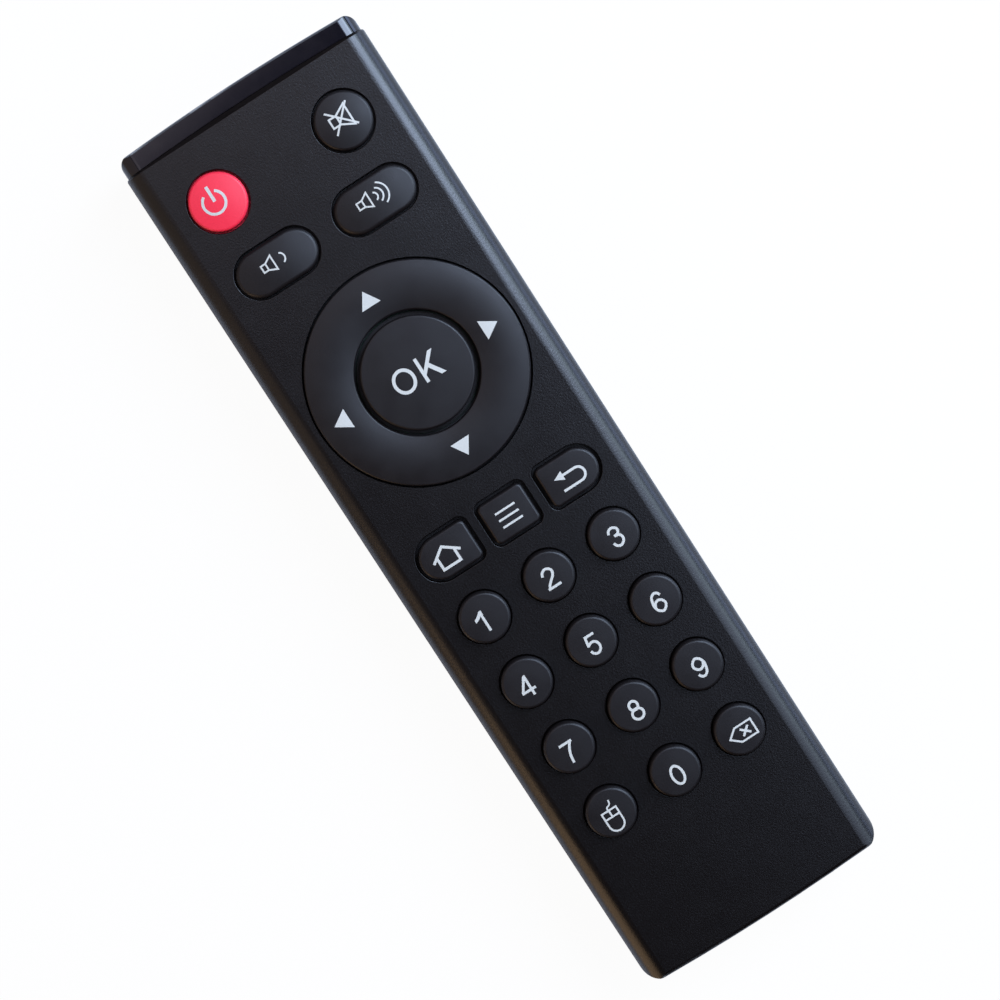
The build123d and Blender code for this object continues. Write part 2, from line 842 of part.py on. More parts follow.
def ir_led():
    """Infrared diode behind the window, with leads bent up into the board."""
    axis_z = board_bottom - diode_axis_drop
    lens_y = diode_back_y() + diode_flange_length + diode_body_length
    forward = Rot(-90, 0, 0)
    align = (Align.CENTER, Align.CENTER, Align.MIN)
    flange = Pos(0, diode_back_y(), axis_z) * forward * Cylinder(
        diode_flange_radius, diode_flange_length, align=align)
    body = Pos(0, diode_back_y(), axis_z) * forward * Cylinder(
        diode_radius, diode_flange_length + diode_body_length, align=align)
    lens = Pos(0, lens_y, axis_z) * Sphere(diode_radius)
    led = flange + body + lens
    half = diode_lead_size / 2
    for x, y in diode_lead_places():
        led = led + box_between((x - half, y - half, axis_z - half),
                                (x + half, diode_back_y() + half, axis_z + half))
        led = led + box_between((x - half, y - half, axis_z - half),
                                (x + half, y + half, board_bottom + board_thickness / 2))
    return led


def controller_chip():
    """Controller in a flat package with bent legs on both sides."""
    top = board_bottom - chip_lift
    body = Pos(0, chip_y, top - chip_height / 2) * Box(chip_width, chip_length, chip_height)
    body = chamfer(body.edges().filter_by(Axis.Z), chip_lift)
    middle_z = top - chip_height / 2
    for side in (-1, 1):
        for index in range(chip_leg_count):
            y = chip_y + (index - (chip_leg_count - 1) / 2) * chip_leg_pitch
            inner_x = side * (chip_width / 2 - chip_leg_thickness)
            knee_x = side * (chip_width / 2 + chip_leg_reach / 2)
            foot_x = side * (chip_width / 2 + chip_leg_reach)
            half = chip_leg_thickness / 2
            path = Polyline((inner_x, y, middle_z), (knee_x, y, middle_z),
                            (knee_x, y, board_bottom - half), (foot_x, y, board_bottom - half))
            profile = Plane(origin=path @ 0, x_dir=(0, 1, 0), z_dir=path % 0) * Rectangle(
                chip_leg_width, chip_leg_thickness)
            body = body + sweep(profile, path=path, transition=Transition.RIGHT)
    return body


def resonator():
    """Ceramic resonator with rounded ends, flat on the board."""
    plan = Pos(0, resonator_y) * SlotOverall(resonator_length, resonator_width)
    return extrude(flat(plan, board_bottom - resonator_height), amount=resonator_height)


def capacitor():
    """Buffer capacitor lying on the underside of the board, with its crimped neck."""
    z = board_bottom - capacitor_radius
    can = Pos(capacitor_x, capacitor_y, z) * Rot(90, 0, 0) * Cylinder(capacitor_radius,
                                                                      capacitor_length)
    groove_y = capacitor_y + capacitor_length / 2 - 3 * capacitor_groove
    groove = Pos(capacitor_x, groove_y, z) * Rot(90, 0, 0) * Torus(capacitor_radius,
                                                                   capacitor_groove)
    return can - groove


def resistors():
    """Row of chip resistors beside the controller."""
    row = []
    for index in range(resistor_count):
        y = resistor_y + (index - (resistor_count - 1) / 2) * resistor_pitch
        row.append(Pos(resistor_x, y, board_bottom - resistor_height / 2)
                   * Box(resistor_width, resistor_length, resistor_height))
    return Compound(children=row)


def cell(side):
    """An AAA cell with its nub towards the head on the left and towards the tail on the right."""
    body_length = cell_length - nub_length
    nub_way = -side
    nub_tip = (contact_face_head_y - contact_play if side < 0
               else contact_face_tail_y + contact_play)
    body_y = nub_tip - nub_way * (nub_length + body_length / 2)
    can = Pos(side * cell_x, body_y, cell_z) * Rot(90, 0, 0) * Cylinder(cell_radius, body_length)
    can = fillet(can.edges().filter_by(GeomType.CIRCLE), least_round)
    nub_y = nub_tip - nub_way * nub_length
    nub = Pos(side * cell_x, nub_y, cell_z) * Rot(90, 0, 0) * Cylinder(nub_radius, 2 * nub_length)
    return can + nub


def contact_plate(x, wall_y, inward):
    """Flat spring-steel plate against an end wall of the bay, rounded to clear the channel."""
    middle_y = wall_y + inward * contact_thickness / 2
    blank = Box(contact_width, contact_thickness, contact_height)
    disc = Rot(90, 0, 0) * Cylinder(contact_radius, contact_thickness)
    return Pos(x, middle_y, cell_z) * (blank & disc)


def contact_tab(x):
    """Tab that rises from a head-end contact through the bay's roof to the board."""
    y = bay_head_y - contact_thickness
    return box_between((x - contact_tab_width / 2, y, cell_z),
                       (x + contact_tab_width / 2, bay_head_y,
                        board_bottom + board_thickness / 2))


def contact_spring(x, wall_y, inward):
    """Tapered coil spring that presses on the flat end of a cell."""
    start_y = wall_y + inward * (contact_thickness + spring_wire_radius)
    height = spring_length - 2 * spring_wire_radius - contact_play
    cone = math.degrees(math.atan2(spring_base_radius - spring_tip_radius, height))
    helix = Helix(height / spring_turns, height, spring_base_radius, center=(x, start_y, cell_z),
                  direction=(0, inward, 0), cone_angle=-cone)
    profile = Plane(origin=helix @ 0, z_dir=helix % 0) * RegularPolygon(spring_wire_radius,
                                                                         spring_wire_sides)
    return sweep(profile, path=helix, is_frenet=True)


def contact_positive():
    """Head-end contact on the nub of the left cell."""
    return contact_plate(-cell_x, bay_head_y, -1) + contact_tab(-cell_x)


def contact_negative():
    """Head-end contact with the spring on the right cell."""
    plate = contact_plate(cell_x, bay_head_y, -1) + contact_tab(cell_x)
    return plate + contact_spring(cell_x, bay_head_y, -1)


def contact_bridge():
    """Tail-end contact that joins both cells, with the spring on the left one."""
    strap = box_between((-cell_x, bay_tail_y, cell_z - contact_height / 2),
                        (cell_x, bay_tail_y + contact_thickness, cell_z - cell_spacing))
    plates = [contact_plate(side * cell_x, bay_tail_y, 1) for side in (-1, 1)]
    return strap + plates + contact_spring(-cell_x, bay_tail_y, 1)


def all_pieces():
    """Every piece of the remote control by the name of its node."""
    pieces = {
        "top_case": top_case(),
        "bottom_case": bottom_case(),
        "battery_cover": battery_cover(),
        "ir_window": ir_window(),
        "keypad_mat": keypad_sheet(),
        "dpad_ring": dpad_ring(),
        "dpad_web": dpad_web(),
        "dpad_pills": dpad_pills(),
        "circuit_board": circuit_board(),
        "ir_led": ir_led(),
        "controller_chip": controller_chip(),
        "resonator": resonator(),
        "capacitor": capacitor(),
        "resistors": resistors(),
        "battery_left": cell(-1),
        "battery_right": cell(1),
        "contact_positive": contact_positive(),
        "contact_negative": contact_negative(),
        "contact_bridge": contact_bridge(),
    }
    for key in key_list():
        pieces["key_" + key.name] = key_cap(key)
        pieces["pill_" + key.name] = pill(key.x, key.y)
    return pieces


os.makedirs("parts", exist_ok=True)
for node, piece in all_pieces().items():
    export_step(piece, f"parts/{node}.step")
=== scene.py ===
"""Looks of a universal remote control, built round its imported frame.

Every length is in metres unless a name says otherwise. Legends are drawn in millimetres from the
middle of their key, and are laid on the key's own surface.
"""
import logging
import math
from dataclasses import dataclass, field
from enum import Enum

import bmesh
import bpy
from mathutils import Euler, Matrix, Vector
from mathutils.bvhtree import BVHTree
from mathutils.geometry import delaunay_2d_cdt


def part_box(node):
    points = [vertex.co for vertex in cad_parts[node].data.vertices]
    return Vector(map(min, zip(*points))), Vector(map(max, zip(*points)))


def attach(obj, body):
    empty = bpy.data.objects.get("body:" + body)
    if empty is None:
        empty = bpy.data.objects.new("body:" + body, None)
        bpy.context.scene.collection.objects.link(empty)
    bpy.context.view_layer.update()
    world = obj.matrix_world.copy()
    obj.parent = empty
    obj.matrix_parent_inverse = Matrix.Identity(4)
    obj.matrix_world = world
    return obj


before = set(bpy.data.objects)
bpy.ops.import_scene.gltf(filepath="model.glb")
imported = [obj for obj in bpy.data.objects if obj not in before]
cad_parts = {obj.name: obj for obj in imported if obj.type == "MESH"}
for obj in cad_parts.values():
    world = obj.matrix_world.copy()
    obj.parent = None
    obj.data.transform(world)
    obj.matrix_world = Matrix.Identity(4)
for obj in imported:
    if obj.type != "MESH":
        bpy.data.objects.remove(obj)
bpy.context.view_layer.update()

LOG = logging.getLogger("remote_control")
MM = 0.001
SHARPEST_MITRE = 0.35  # least cosine that a corner of a stroke is stretched by
EDGE_PARTS = 3  # inner points stay a step divided by this away from a patch's edge
MERGE_LENGTH = 1e-5  # millimetres within which two points of a print are one
RAY_HEIGHT = 1.0  # height from which a print looks down for its key
Colour = tuple[float, float, float]
Point = tuple[float, float]


class Slot(Enum):
    """Material slots of the record."""

    CASE = "case_plastic"
    WINDOW = "window_plastic"
    KEY = "key_plastic"
    POWER = "power_key_plastic"
    INK = "legend_ink"
    SHEET = "sheet_rubber"
    PILL = "carbon_pill"
    BOARD = "board_laminate"
    CHIP = "chip_plastic"
    CERAMIC = "ceramic_cap"
    DIODE = "diode_resin"
    CAN = "can_metal"
    JACKET = "cell_jacket"
    CONTACT = "contact_steel"


class RayKind(Enum):
    """Kinds of ray for which the floor shows its plain pale colour."""

    CAMERA = "Is Camera Ray"
    TRANSMISSION = "Is Transmission Ray"


class Graph:
    """A material's node tree with short calls for the nodes that the finishes use."""

    def __init__(self, name: str) -> None:
        """Starts an empty material with its shader and output.

        Args:
            name: Name of the material.
        """
        self.material = bpy.data.materials.new(name)
        self.material.use_nodes = True
        self.tree = self.material.node_tree
        self.shader = self.tree.nodes["Principled BSDF"]
        self.place = self.node("ShaderNodeTexCoord").outputs["Object"]

    def node(self, kind: str, **settings: object) -> bpy.types.Node:
        """Adds a node.

        Args:
            kind: Type name of the node.
            **settings: Properties to set on it.

        Returns:
            The new node.
        """
        made = self.tree.nodes.new(kind)
        for key, value in settings.items():
            setattr(made, key, value)
        return made

    def link(self, source: bpy.types.NodeSocket, target: bpy.types.NodeSocket) -> None:
        """Joins two sockets."""
        self.tree.links.new(source, target)

    def constant(self, socket: str, value: object) -> None:
        """Sets a socket of the shader itself."""
        self.shader.inputs[socket].default_value = value

    def noise(self, size: float, detail: float = 2.0, rough: float = 0.5) -> bpy.types.NodeSocket:
        """Noise over the object's own space.

        Args:
            size: Distance between its bumps.
            detail: Octaves of finer noise.
            rough: Strength of the finer noise.

        Returns:
            The noise value.
        """
        made = self.node("ShaderNodeTexNoise")
        made.inputs["Scale"].default_value = 1 / size
        made.inputs["Detail"].default_value = detail
        made.inputs["Roughness"].default_value = rough
        self.link(self.place, made.inputs["Vector"])
        return made.outputs["Fac"]

    def span(self, value: bpy.types.NodeSocket, low: float, high: float,
             start: float = 0.3, end: float = 0.7) -> bpy.types.NodeSocket:
        """Maps a value from one range to another.

        Args:
            value: The value to map.
            low: Result at the start.
            high: Result at the end.
            start: Value that gives the low result.
            end: Value that gives the high result.

        Returns:
            The mapped value.
        """
        made = self.node("ShaderNodeMapRange")
        for name, number in (("From Min", start), ("From Max", end),
                             ("To Min", low), ("To Max", high)):
            made.inputs[name].default_value = number
        self.link(value, made.inputs["Value"])
        return made.outputs["Result"]

    def blend(self, share: bpy.types.NodeSocket, first: object, second: object
              ) -> bpy.types.NodeSocket:
        """Mixes two colours, each given as a colour or as a socket.

        Args:
            share: Share of the second colour.
            first: Colour where the share is zero.
            second: Colour where the share is one.

        Returns:
            The mixed colour.
        """
        # Sockets 6 and 7, and output 2, are the mix node's colours.
        made = self.node("ShaderNodeMix", data_type="RGBA")
        self.link(share, made.inputs["Factor"])
        for index, colour in ((6, first), (7, second)):
            if isinstance(colour, bpy.types.NodeSocket):
                self.link(colour, made.inputs[index])
            else:
                made.inputs[index].default_value = (*colour, 1.0)
        return made.outputs[2]

    def math(self, operation: str, first: bpy.types.NodeSocket, second: float
             ) -> bpy.types.NodeSocket:
        """One sum on a value.

        Args:
            operation: Name of the operation.
            first: The value.
            second: The number it is set against.

        Returns:
            The result.
        """
        made = self.node("ShaderNodeMath", operation=operation)
        self.link(first, made.inputs[0])
        made.inputs[1].default_value = second
        return made.outputs[0]

    def along(self, axis: str) -> bpy.types.NodeSocket:
        """Place along one axis of the object's own space."""
        made = self.node("ShaderNodeSeparateXYZ")
        self.link(self.place, made.inputs[0])
        return made.outputs[axis]

    def bump(self, height: bpy.types.NodeSocket, depth: float) -> bpy.types.NodeSocket:
        """A normal bent by a height.

        Args:
            height: The height, from 0 to 1.
            depth: What a height of 1 stands for.

        Returns:
            The bent normal.
        """
        made = self.node("ShaderNodeBump")
        made.inputs["Strength"].default_value = 1.0
        made.inputs["Distance"].default_value = depth
        self.link(height, made.inputs["Height"])
        return made.outputs["Normal"]


def shade(colour: Colour, factor: float) -> Colour:
    """A lighter or darker version of a colour.

    Args:
        colour: The colour.
        factor: What each channel is multiplied by.

    Returns:
        The new colour.
    """
    return tuple(min(1.0, channel * factor) for channel in colour)


@dataclass(frozen=True)
class Finish:
    """A moulded surface: its colour, gloss and two sizes of unevenness."""

    slot: Slot
    colour: Colour
    roughness: float
    grain_size: float
    grain_depth: float
    colour_spread: float = 0.1
    gloss_spread: float = 0.04
    wave_size: float = 4.0 * MM
    specular: float = 0.5
    metallic: float = 0.0
    coat: float = 0.0
    coat_roughness: float = 0.1

    def material(self) -> bpy.types.Material:
        """Builds the material.

        Returns:
            The material, ready for a slot.
        """
        graph = Graph(self.slot.value)
        grain = graph.noise(self.grain_size, detail=3.0, rough=0.6)
        broad = graph.noise(self.wave_size)
        base = graph.blend(graph.span(grain, 0.0, 1.0), shade(self.colour, 1 - self.colour_spread),
                           shade(self.colour, 1 + self.colour_spread))
        base = self.pattern(graph, base)
        graph.link(base, graph.shader.inputs["Base Color"])
        gloss = graph.span(broad, self.roughness - self.gloss_spread,
                           self.roughness + self.gloss_spread)
        graph.link(gloss, graph.shader.inputs["Roughness"])
        graph.link(graph.bump(grain, self.grain_depth), graph.shader.inputs["Normal"])
        graph.constant("Specular IOR Level", self.specular)
        graph.constant("Metallic", self.metallic)
        graph.constant("Coat Weight", self.coat)
        graph.constant("Coat Roughness", self.coat_roughness)
        return graph.material

    def pattern(self, graph: Graph, base: bpy.types.NodeSocket) -> bpy.types.NodeSocket:
        """Colour with this finish's own pattern; plain finishes have none.

        Args:
            graph: The material being built.
            base: Its colour so far.

        Returns:
            The colour with the pattern.
        """
        return base


@dataclass(frozen=True)
class EndedFinish(Finish):
    """A part whose leads or caps beyond a distance along one axis are bare metal."""

    axis: str = "X"
    reach: float = 3.75 * MM
    middle: float = 0.0
    metal: Colour = (0.55, 0.55, 0.56)

    def pattern(self, graph: Graph, base: bpy.types.NodeSocket) -> bpy.types.NodeSocket:
        """Metal colour beyond the body.

        Args:
            graph: The material being built.
            base: Colour of the body.

        Returns:
            The colour of body and metal.
        """
        offset = graph.math("SUBTRACT", graph.along(self.axis), self.middle)
        away = graph.math("ABSOLUTE", offset, 0.0)
        return graph.blend(graph.math("GREATER_THAN", away, self.reach), base, self.metal)


@dataclass(frozen=True)
class BoardFinish(Finish):
    """Green laminate with a fine net of tracks."""

    track: Colour = (0.014, 0.07, 0.026)
    track_size: float = 2.4 * MM
    track_share: float = 0.09

    def pattern(self, graph: Graph, base: bpy.types.NodeSocket) -> bpy.types.NodeSocket:
        """Tracks along the edges of cells.

        Args:
            graph: The material being built.
            base: Colour of the laminate.

        Returns:
            The colour with its tracks.
        """
        cells = graph.node("ShaderNodeTexVoronoi", feature="DISTANCE_TO_EDGE")
        cells.inputs["Scale"].default_value = 1 / self.track_size
        graph.link(graph.place, cells.inputs["Vector"])
        line = graph.math("LESS_THAN", cells.outputs["Distance"], self.track_share)
        return graph.blend(line, base, self.track)


@dataclass(frozen=True)
class JacketFinish(Finish):
    """Printed sleeve of a dry cell: a dark body, a metal-coloured band and bare ends."""

    band: Colour = (0.52, 0.26, 0.10)
    steel: Colour = (0.60, 0.60, 0.60)
    low_end: float = 0.0
    high_end: float = 0.0445
    band_share: float = 0.3
    bare_length: float = 0.6 * MM
    band_at_head: bool = True

    def pattern(self, graph: Graph, base: bpy.types.NodeSocket) -> bpy.types.NodeSocket:
        """Band towards the plus end and steel at both ends.

        Args:
            graph: The material being built.
            base: Colour of the body.

        Returns:
            The colour along the cell.
        """
        along = graph.along("Y")
        length = self.high_end - self.low_end
        edge = self.high_end - self.band_share * length
        test = "GREATER_THAN"
        if not self.band_at_head:
            edge = self.low_end + self.band_share * length
            test = "LESS_THAN"
        colour = graph.blend(graph.math(test, along, edge), base, self.band)
        offset = graph.math("SUBTRACT", along, (self.low_end + self.high_end) / 2)
        away = graph.math("ABSOLUTE", offset, 0.0)
        bare = graph.math("GREATER_THAN", away, length / 2 - self.bare_length)
        return graph.blend(bare, colour, self.steel)


def dress(name: str, material: bpy.types.Material) -> None:
    """Gives a CAD node its material.

    Args:
        name: The node.
        material: What it wears.
    """
    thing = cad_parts[name]
    thing.data.materials.clear()
    thing.data.materials.append(material)
    for face in thing.data.polygons:
        face.material_index = 0
    LOG.info("dressed %s in %s", name, material.name)


def arc(centre: Point, radius: float, start: float, end: float, steps: int = 14,
        tall: float = 1.0) -> list[Point]:
    """Points along an arc, with angles in degrees.

    Args:
        centre: Its centre.
        radius: Its radius across.
        start: Angle of the first point.
        end: Angle of the last point.
        steps: How many pieces it has.
        tall: Height of the arc against its width.

    Returns:
        The points in order.
    """
    turns = [math.radians(start + (end - start) * index / steps) for index in range(steps + 1)]
    return [(centre[0] + radius * math.cos(turn), centre[1] + radius * tall * math.sin(turn))
            for turn in turns]


def oval(centre: Point, radius: float, tall: float, sides: int) -> list[Point]:
    """Corners of a closed oval.

    Args:
        centre: Its centre.
        radius: Its radius across.
        tall: Its height against its width.
        sides: How many sides it has.

    Returns:
        The corners in order, without the first one again at the end.
    """
    return arc(centre, radius, 0, 360 - 360 / sides, sides - 1, tall)


def smooth(points: list[Point], steps: int = 6) -> list[Point]:
    """A soft curve through a few points.

    Args:
        points: What it passes through.
        steps: How many pieces lie between two of them.

    Returns:
        The points along the curve.
    """
    ends = [points[0]] + points + [points[-1]]
    curve = []
    for index in range(len(points) - 1):
        before, first, second, after = (Vector(p) for p in ends[index:index + 4])
        for step in range(steps):
            t = step / steps
            spot = 0.5 * (2 * first + (second - before) * t
                          + (2 * before - 5 * first + 4 * second - after) * t * t
                          + (3 * first - before - 3 * second + after) * t * t * t)
            curve.append((spot.x, spot.y))
    return curve + [points[-1]]


@dataclass(frozen=True)
class Stroke:
    """A line of even width through points in millimetres, with square ends."""

    points: list[Point]
    width: float
    closed: bool = False
    longest: float = 0.6

    def faces(self) -> list[list[Point]]:
        """Splits the line into four-cornered pieces with mitred joins.

        Returns:
            The corners of each piece.
        """
        path = self.even_path()
        count = len(path)
        left, right = [], []
        for index, here in enumerate(path):
            before = path[index - 1] if index or self.closed else None
            after = path[(index + 1) % count] if index < count - 1 or self.closed else None
            offset = self.mitre(before, here, after)
            left.append((here.x + offset.x, here.y + offset.y))
            right.append((here.x - offset.x, here.y - offset.y))
        pairs = range(count if self.closed else count - 1)
        return [[left[i], right[i], right[(i + 1) % count], left[(i + 1) % count]] for i in pairs]

    def even_path(self) -> list[Vector]:
        """The points with long runs divided.

        Returns:
            Points no further apart than the longest step.
        """
        corners = [Vector(p) for p in self.points]
        runs = zip(corners, corners[1:] + corners[:1]) if self.closed else zip(corners, corners[1:])
        path = []
        for first, second in runs:
            parts = max(1, math.ceil((second - first).length / self.longest))
            path.extend(first.lerp(second, part / parts) for part in range(parts))
        return path if self.closed else path + [corners[-1]]

    def mitre(self, before: Vector | None, here: Vector, after: Vector | None) -> Vector:
        """Offset from the line to its left edge at a point.

        Args:
            before: The point before, if any.
            here: The point.
            after: The point after, if any.

        Returns:
            The offset.
        """
        ahead = (after - here).normalized() if after is not None else None
        behind = (here - before).normalized() if before is not None else None
        ahead = ahead or behind
        behind = behind or ahead
        normal = Vector((-ahead.y, ahead.x))
        other = Vector((-behind.y, behind.x))
        middle = (normal + other).normalized()
        stretch = max(middle.dot(normal), SHARPEST_MITRE)
        return middle * (self.width / 2 / stretch)


@dataclass(frozen=True)
class Patch:
    """A filled shape with corners in millimetres, divided so that it can follow a crown."""

    corners: list[Point]
    step: float = 0.5

    def faces(self) -> list[list[Point]]:
        """The shape as one face with divided edges.

        Returns:
            The shape's corners.
        """
        ring = Stroke(self.corners, 1.0, True, self.step).even_path()
        points = [(p.x, p.y) for p in ring]
        return [points if self.area() > 0 else points[::-1]]

    def area(self) -> float:
        """Twice the area of the shape, above zero where it turns to the left."""
        corners = [Vector(p) for p in self.corners]
        return sum(a.cross(b) for a, b in zip(corners, corners[1:] + corners[:1]))

    def inner_points(self) -> list[Point]:
        """A grid of points well inside the shape.

        Returns:
            The points.
        """
        xs = [p[0] for p in self.corners]
        ys = [p[1] for p in self.corners]
        found = []
        for i in range(1, math.ceil((max(xs) - min(xs)) / self.step)):
            for j in range(1, math.ceil((max(ys) - min(ys)) / self.step)):
                spot = Vector((min(xs) + i * self.step, min(ys) + j * self.step))
                if self.depth(spot) > self.step / EDGE_PARTS:
                    found.append((spot.x, spot.y))
        return found

    def depth(self, spot: Vector) -> float:
        """How far a point lies inside a convex shape.

        Args:
            spot: The point.

        Returns:
            Its distance from the nearest edge, below zero outside.
        """
        corners = [Vector(p) for p in self.corners]
        turn = 1 if self.area() > 0 else -1
        return min(turn * (b - a).normalized().cross(spot - a)
                   for a, b in zip(corners, corners[1:] + corners[:1]))


@dataclass(frozen=True)
class Legend:
    """A printed sign: strokes and patches from the middle of the key that carries it."""

    name: str
    body: str
    shapes: list[Stroke | Patch]
    shift: Point = (0.0, 0.0)
    proud: float = 0.022 * MM
    sunk: float = 0.03 * MM

    def outline(self) -> tuple[list[Vector], list[list[int]]]:
        """Joins all strokes and patches into one flat mesh.

        Returns:
            Its points and its triangles.
        """
        points, faces = [], []
        for shape in self.shapes:
            for face in shape.faces():
                faces.append(list(range(len(points), len(points) + len(face))))
                points.extend(Vector(p) for p in face)
            if isinstance(shape, Patch):
                points.extend(Vector(p) for p in shape.inner_points())
        spots, _, triangles, _, _, sources = delaunay_2d_cdt(points, [], faces, 0, MERGE_LENGTH)
        return spots, [face for face, source in zip(triangles, sources) if source]

    def build(self, centre: Vector, tree: BVHTree, ink: bpy.types.Material) -> bpy.types.Object:
        """Lays the sign on the surface of its key as a thin closed skin.

        Args:
            centre: Middle of the key.
            tree: Surface of the key.
            ink: Material of the print.

        Returns:
            The new piece, riding on its body.
        """
        spots, triangles = self.outline()
        work = bmesh.new()
        upper, lower = [], []
        for spot in spots:
            x = centre.x + (spot.x + self.shift[0]) * MM
            y = centre.y + (spot.y + self.shift[1]) * MM
            hit = tree.ray_cast(Vector((x, y, RAY_HEIGHT)), Vector((0, 0, -1)))[0]
            level = hit.z if hit else centre.z
            upper.append(work.verts.new((x, y, level + self.proud)))
            lower.append(work.verts.new((x, y, level - self.sunk)))
        edges: dict[tuple[int, int], None] = {}
        for face in triangles:
            edges.update(dict.fromkeys(zip(face, face[1:] + face[:1])))
            work.faces.new([upper[i] for i in face])
            work.faces.new([lower[i] for i in reversed(face)])
        for a, b in edges:
            if (b, a) not in edges:
                work.faces.new([upper[b], upper[a], lower[a], lower[b]])
        loose = [v for v in work.verts if not v.link_faces]
        bmesh.ops.delete(work, geom=loose, context="VERTS")
        bmesh.ops.recalc_face_normals(work, faces=work.faces)
        mesh = bpy.data.meshes.new(self.name)
        work.to_mesh(mesh)
        work.free()
        mesh.materials.append(ink)
        piece = bpy.data.objects.new(self.name, mesh)
        bpy.context.scene.collection.objects.link(piece)
        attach(piece, self.body)
        LOG.info("printed %s with %d faces", self.name, len(mesh.polygons))
        return piece


@dataclass
class Numerals:
    """The ten numerals in one even line width, upright and round."""

    width: float = 0.4
    half_height: float = 1.7
    half_width: float = 1.1

    @property
    def top(self) -> float:
        """Centre line of the uppermost stroke."""
        return self.half_height - self.width / 2

    @property
    def side(self) -> float:
        """Centre line of the outermost upright stroke."""
        return self.half_width - self.width / 2

    def line(self, points: list[Point]) -> Stroke:
        """A straight stroke of the numerals' width."""
        return Stroke(points, self.width)

    def curve(self, points: list[Point]) -> Stroke:
        """A soft stroke through a few points."""
        return Stroke(smooth(points), self.width, longest=0.5)

    def loop(self, centre: Point, across: float, up: float) -> Stroke:
        """A closed oval stroke."""
        return Stroke(oval(centre, across, up / across, 24), self.width, True)

    def shapes(self, digit: int) -> list[Stroke | Patch]:
        """Strokes of one numeral.

        Args:
            digit: The numeral, 0 to 9.

        Returns:
            Its strokes.
        """
        top, side, low = self.top, self.side, -self.half_height
        if digit == 1:
            stem = 0.45
            flag = [(stem - 0.12, self.half_height), (stem + 0.27, self.half_height),
                    (stem + 0.27, 0.95), (stem - 0.27, 0.92), (0.0, 0.72), (-0.4, 0.5),
                    (-0.85, 0.33), (-0.85, 0.85), (-0.45, 1.05), (0.05, 1.42)]
            return [self.line([(stem, low), (stem, 1.2)]), Patch(flag, step=2.0)]
        if digit == 2:
            return [self.curve([(-side, 0.62), (-0.62, 1.2), (0.02, top), (0.66, 1.2),
                                (0.82, 0.68), (0.55, 0.1), (-0.05, -0.45), (-0.6, -0.98),
                                (-0.8, -1.5)]),
                    self.line([(-1.1, -top), (1.1, -top)])]
        if digit == 3:
            return [self.curve([(-0.82, 0.78), (-0.58, 1.26), (0.0, top), (0.6, 1.2),
                                (0.74, 0.78), (0.5, 0.32), (-0.2, 0.17)]),
                    self.curve([(-0.2, 0.17), (0.55, 0.02), (0.84, -0.52), (0.66, -1.12),
                                (0.02, -top), (-0.6, -1.22), (-0.84, -0.7)])]
        if digit == 4:
            stem = 0.42
            return [self.line([(stem, low), (stem, self.half_height)]),
                    self.line([(-1.2, -0.72), (1.15, -0.72)]),
                    self.line([(-1.02, -0.62), (0.34, 1.5)])]
        if digit == 5:
            return [self.line([(-0.72, top), (0.95, top)]),
                    self.line([(-0.52, 1.62), (-0.78, -0.02)]),
                    self.curve([(-0.76, 0.1), (-0.1, 0.42), (0.55, 0.2), (0.83, -0.45),
                                (0.6, -1.15), (-0.02, -top), (-0.6, -1.22), (-0.84, -0.72)])]
        if digit == 6:
            return [self.curve(self.hook())]
        if digit == 9:
            return [self.curve([(-x, -y) for x, y in self.hook()])]
        if digit == 7:
            return [self.line([(-1.1, top), (1.1, top)]),
                    self.curve([(0.84, 1.5), (0.3, 0.72), (-0.08, -0.1), (-0.28, -0.95),
                                (-0.34, low)])]
        if digit == 8:
            return [self.loop((0, 0.78), 0.68, top - 0.78), self.loop((0, -0.64), side, top - 0.64)]
        return [self.loop((0, 0), side, top)]

    def hook(self) -> list[Point]:
        """Points of the six, which the nine turns round."""
        return [(0.78, 0.86), (0.56, 1.28), (0.08, self.top), (-0.5, 1.18), (-0.78, 0.5),
                (-self.side, -0.3), (-0.68, -1.0), (-0.3, -1.36), (0.08, -self.top),
                (0.62, -1.16), (self.side, -0.56), (0.62, 0.04), (0.08, 0.3), (-0.5, 0.06),
                (-0.8, -0.5)]


